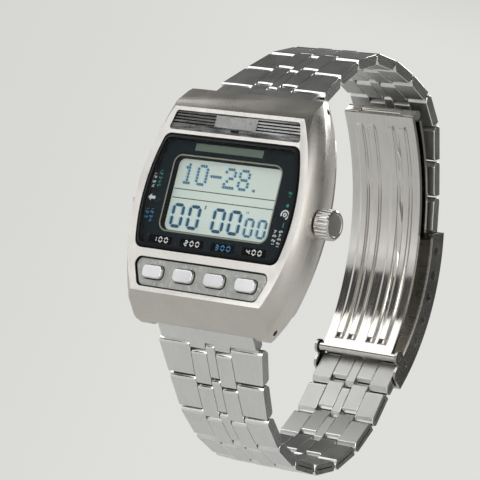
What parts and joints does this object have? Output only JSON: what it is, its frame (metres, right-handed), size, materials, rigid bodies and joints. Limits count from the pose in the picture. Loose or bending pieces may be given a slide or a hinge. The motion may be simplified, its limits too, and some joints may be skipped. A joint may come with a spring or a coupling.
{
  "type": "digital wristwatch",
  "caption": "Steel digital wristwatch with a display, front buttons, a crown, a link bracelet and a folding clasp.",
  "frame": {"origin": "centre of the case back's flat outer face", "axes": "+X towards the crown, +Z towards 12 o'clock, the dial faces -Y"},
  "size_m": [0.042, 0.0628, 0.0758],
  "materials": {
    "case_steel": "satin",
    "bracelet_steel": "satin",
    "control_steel": "fine satin",
    "tray_steel": "fine satin",
    "cover_steel": "satin",
    "blade_steel": "polished",
    "bar_steel": "satin",
    "gilt_tube": "satin",
    "glass": "clear",
    "black_seal": "matte",
    "dial_print": "satin",
    "window_paint": "matte",
    "lcd_glass": "matte",
    "white_film": "matte",
    "brass_parts": "satin",
    "inner_steel": "satin",
    "module_plastic": "matte",
    "board": "matte",
    "lamp_glass": "clear"
  },
  "bodies": {
    "case": {"case_body": "case_steel", "case_back": "case_steel", "back_gasket": "black_seal", "crystal": "glass", "crystal_gasket": "black_seal", "dial_panel": "dial_print", "window_frame": "window_paint", "lcd_panel": "lcd_glass", "lcd_reflector": "white_film", "grille_plate": "case_steel", "button_tray": "tray_steel", "button_seals": "black_seal", "button_contacts": "brass_parts", "crown_seal": "black_seal", "module_frame": "module_plastic", "circuit_board": "board", "connector_strips": "black_seal", "quartz_can": "inner_steel", "lamp": "lamp_glass", "battery": "inner_steel", "battery_clamp": "brass_parts", "buzzer_disc": "brass_parts", "lug_bars": "gilt_tube"},
    "end_link_12_body": {"end_link_12": "bracelet_steel"},
    "link_12_01_body": {"link_12_01": "bracelet_steel"},
    "link_12_02_body": {"link_12_02": "bracelet_steel"},
    "link_12_03_body": {"link_12_03": "bracelet_steel"},
    "link_12_04_body": {"link_12_04": "bracelet_steel"},
    "link_12_05_body": {"link_12_05": "bracelet_steel"},
    "link_12_06_body": {"link_12_06": "bracelet_steel"},
    "link_12_07_body": {"link_12_07": "bracelet_steel"},
    "link_12_08_body": {"link_12_08": "bracelet_steel"},
    "link_12_09_body": {"link_12_09": "bracelet_steel"},
    "link_12_10_body": {"link_12_10": "bracelet_steel"},
    "clasp_short_blade_body": {"clasp_short_blade": "blade_steel"},
    "clasp_long_blade_body": {"clasp_long_blade": "blade_steel"},
    "clasp_cover_body": {"clasp_cover": "cover_steel"},
    "end_link_6_body": {"end_link_6": "bracelet_steel"},
    "link_6_01_body": {"link_6_01": "bracelet_steel"},
    "link_6_02_body": {"link_6_02": "bracelet_steel"},
    "link_6_03_body": {"link_6_03": "bracelet_steel"},
    "link_6_04_body": {"link_6_04": "bracelet_steel"},
    "link_6_05_body": {"link_6_05": "bracelet_steel"},
    "link_6_06_body": {"link_6_06": "bracelet_steel"},
    "link_6_07_body": {"link_6_07": "bracelet_steel"},
    "link_6_08_body": {"link_6_08": "bracelet_steel"},
    "link_6_09_body": {"link_6_09": "bracelet_steel"},
    "link_6_10_body": {"link_6_10": "bracelet_steel", "clasp_spring_bar": "bar_steel"},
    "button_1_body": {"button_1": "control_steel"},
    "button_2_body": {"button_2": "control_steel"},
    "button_3_body": {"button_3": "control_steel"},
    "button_4_body": {"button_4": "control_steel"},
    "side_pusher_body": {"side_pusher": "control_steel"},
    "crown_slide_body": {"setting_lever": "inner_steel"},
    "crown_body": {"crown": "control_steel", "crown_stem": "inner_steel"}
  },
  "joints": [
    {"name": "end_link_12_hinge", "type": "hinge", "parent": "case", "child": "end_link_12_body", "pos_m": [0, -0.0043, 0.0194], "axis": [-1, 0, 0], "range_deg": [-2.61, 2.61]},
    {"name": "link_12_01_hinge", "type": "hinge", "parent": "end_link_12_body", "child": "link_12_01_body", "pos_m": [0, -0.00098, 0.02272], "axis": [1, 0, 0], "range_deg": [-3.29, 3.29]},
    {"name": "link_12_02_hinge", "type": "hinge", "parent": "link_12_01_body", "child": "link_12_02_body", "pos_m": [0, 0.004, 0.02736], "axis": [1, 0, 0], "range_deg": [-3, 3]},
    {"name": "link_12_03_hinge", "type": "hinge", "parent": "link_12_02_body", "child": "link_12_03_body", "pos_m": [0, 0.00921, 0.03173], "axis": [-1, 0, 0], "range_deg": [-3.3, 3.3]},
    {"name": "link_12_04_hinge", "type": "hinge", "parent": "link_12_03_body", "child": "link_12_04_body", "pos_m": [0, 0.01532, 0.03471], "axis": [1, 0, 0], "range_deg": [0, 30.08]},
    {"name": "link_12_05_hinge", "type": "hinge", "parent": "link_12_04_body", "child": "link_12_05_body", "pos_m": [0, 0.02208, 0.03542], "axis": [1, 0, 0], "range_deg": [0, 21.11]},
    {"name": "link_12_06_hinge", "type": "hinge", "parent": "link_12_05_body", "child": "link_12_06_body", "pos_m": [0, 0.02885, 0.03483], "axis": [1, 0, 0], "range_deg": [0, 17.08]},
    {"name": "link_12_07_hinge", "type": "hinge", "parent": "link_12_06_body", "child": "link_12_07_body", "pos_m": [0, 0.03551, 0.03342], "axis": [1, 0, 0], "range_deg": [0, 31.91]},
    {"name": "link_12_08_hinge", "type": "hinge", "parent": "link_12_07_body", "child": "link_12_08_body", "pos_m": [0, 0.04086, 0.02923], "axis": [1, 0, 0], "range_deg": [0, 6.15]},
    {"name": "link_12_09_hinge", "type": "hinge", "parent": "link_12_08_body", "child": "link_12_09_body", "pos_m": [0, 0.04385, 0.02312], "axis": [-1, 0, 0], "range_deg": [0, 36.92]},
    {"name": "link_12_10_hinge", "type": "hinge", "parent": "link_12_09_body", "child": "link_12_10_body", "pos_m": [0, 0.04672, 0.01696], "axis": [-1, 0, 0], "range_deg": [0, 35.05]},
    {"name": "clasp_short_blade_hinge", "type": "hinge", "parent": "link_12_10_body", "child": "clasp_short_blade_body", "pos_m": [0, 0.04882, 0.01049], "axis": [1, 0, 0], "range_deg": [0, 50.83]},
    {"name": "clasp_fold", "type": "hinge", "parent": "clasp_short_blade_body", "child": "clasp_long_blade_body", "pos_m": [0, 0.03468, 0.02997], "axis": [-1, 0, 0], "range_deg": [0, 70]},
    {"name": "clasp_cover_hinge", "type": "hinge", "parent": "clasp_long_blade_body", "child": "clasp_cover_body", "pos_m": [0, 0.04527, -0.01358], "axis": [-1, 0, 0], "range_deg": [0, 56]},
    {"name": "end_link_6_hinge", "type": "hinge", "parent": "case", "child": "end_link_6_body", "pos_m": [0, -0.0043, -0.0194], "axis": [1, 0, 0], "range_deg": [-3, 3]},
    {"name": "link_6_01_hinge", "type": "hinge", "parent": "end_link_6_body", "child": "link_6_01_body", "pos_m": [0, -0.00098, -0.02272], "axis": [-1, 0, 0], "range_deg": [-2.62, 2.62]},
    {"name": "link_6_02_hinge", "type": "hinge", "parent": "link_6_01_body", "child": "link_6_02_body", "pos_m": [0, 0.0033, -0.02801], "axis": [1, 0, 0], "range_deg": [0, 38.01]},
    {"name": "link_6_03_hinge", "type": "hinge", "parent": "link_6_02_body", "child": "link_6_03_body", "pos_m": [0, 0.00794, -0.03298], "axis": [1, 0, 0], "range_deg": [0, 8.11]},
    {"name": "link_6_04_hinge", "type": "hinge", "parent": "link_6_03_body", "child": "link_6_04_body", "pos_m": [0, 0.01377, -0.03648], "axis": [-1, 0, 0], "range_deg": [0, 3.44]},
    {"name": "link_6_05_hinge", "type": "hinge", "parent": "link_6_04_body", "child": "link_6_05_body", "pos_m": [0, 0.02031, -0.03836], "axis": [-1, 0, 0], "range_deg": [0, 5.57]},
    {"name": "link_6_06_hinge", "type": "hinge", "parent": "link_6_05_body", "child": "link_6_06_body", "pos_m": [0, 0.0271, -0.03812], "axis": [-1, 0, 0], "range_deg": [0, 6.34]},
    {"name": "link_6_07_hinge", "type": "hinge", "parent": "link_6_06_body", "child": "link_6_07_body", "pos_m": [0, 0.03357, -0.03602], "axis": [-1, 0, 0], "range_deg": [0, 12.4]},
    {"name": "link_6_08_hinge", "type": "hinge", "parent": "link_6_07_body", "child": "link_6_08_body", "pos_m": [0, 0.03893, -0.03183], "axis": [-1, 0, 0], "range_deg": [0, 26.01]},
    {"name": "link_6_09_hinge", "type": "hinge", "parent": "link_6_08_body", "child": "link_6_09_body", "pos_m": [0, 0.04292, -0.02633], "axis": [-1, 0, 0], "range_deg": [0, 25.15]},
    {"name": "link_6_10_hinge", "type": "hinge", "parent": "link_6_09_body", "child": "link_6_10_body", "pos_m": [0, 0.04536, -0.01998], "axis": [-1, 0, 0], "range_deg": [0, 8.48]},
    {"name": "button_1_press", "type": "slide", "parent": "case", "child": "button_1_body", "axis": [0, 1, 0], "range_m": [0, 0.0004], "stiffness_N_per_m": 500},
    {"name": "button_2_press", "type": "slide", "parent": "case", "child": "button_2_body", "axis": [0, 1, 0], "range_m": [0, 0.0004], "stiffness_N_per_m": 500},
    {"name": "button_3_press", "type": "slide", "parent": "case", "child": "button_3_body", "axis": [0, 1, 0], "range_m": [0, 0.0004], "stiffness_N_per_m": 500},
    {"name": "button_4_press", "type": "slide", "parent": "case", "child": "button_4_body", "axis": [0, 1, 0], "range_m": [0, 0.0004], "stiffness_N_per_m": 500},
    {"name": "side_pusher_press", "type": "slide", "parent": "case", "child": "side_pusher_body", "axis": [1, 0, 0], "range_m": [0, 0.0008], "stiffness_N_per_m": 500},
    {"name": "crown_pull", "type": "slide", "parent": "case", "child": "crown_slide_body", "axis": [1, 0, 0], "range_m": [0, 0.001]},
    {"name": "crown_turn", "type": "hinge", "parent": "crown_slide_body", "child": "crown_body", "pos_m": [0.0185, -0.0049, 0], "axis": [1, 0, 0], "continuous": true}
  ],
  "couplings": [
    {"joint": "end_link_12_hinge", "follows": "end_link_6_hinge", "ratio": 0.87066},
    {"joint": "link_12_01_hinge", "follows": "end_link_6_hinge", "ratio": 1.0952},
    {"joint": "link_12_02_hinge", "follows": "end_link_6_hinge", "ratio": 0.99935},
    {"joint": "link_12_03_hinge", "follows": "end_link_6_hinge", "ratio": 1.0987},
    {"joint": "link_12_04_hinge", "follows": "clasp_fold", "ratio": 0.4297},
    {"joint": "link_12_05_hinge", "follows": "clasp_fold", "ratio": 0.30154},
    {"joint": "link_12_06_hinge", "follows": "clasp_fold", "ratio": 0.244},
    {"joint": "link_12_07_hinge", "follows": "clasp_fold", "ratio": 0.45581},
    {"joint": "link_12_08_hinge", "follows": "clasp_fold", "ratio": 0.087795},
    {"joint": "link_12_09_hinge", "follows": "clasp_fold", "ratio": 0.52737},
    {"joint": "link_12_10_hinge", "follows": "clasp_fold", "ratio": 0.50076},
    {"joint": "clasp_short_blade_hinge", "follows": "clasp_fold", "ratio": 0.72615},
    {"joint": "clasp_cover_hinge", "follows": "clasp_fold", "ratio": 0.8},
    {"joint": "link_6_01_hinge", "follows": "end_link_6_hinge", "ratio": 0.87474},
    {"joint": "link_6_02_hinge", "follows": "clasp_fold", "ratio": 0.54302},
    {"joint": "link_6_03_hinge", "follows": "clasp_fold", "ratio": 0.11589},
    {"joint": "link_6_04_hinge", "follows": "clasp_fold", "ratio": 0.04909},
    {"joint": "link_6_05_hinge", "follows": "clasp_fold", "ratio": 0.07963},
    {"joint": "link_6_06_hinge", "follows": "clasp_fold", "ratio": 0.090616},
    {"joint": "link_6_07_hinge", "follows": "clasp_fold", "ratio": 0.17708},
    {"joint": "link_6_08_hinge", "follows": "clasp_fold", "ratio": 0.37155},
    {"joint": "link_6_09_hinge", "follows": "clasp_fold", "ratio": 0.35929},
    {"joint": "link_6_10_hinge", "follows": "clasp_fold", "ratio": 0.12115}
  ]
}
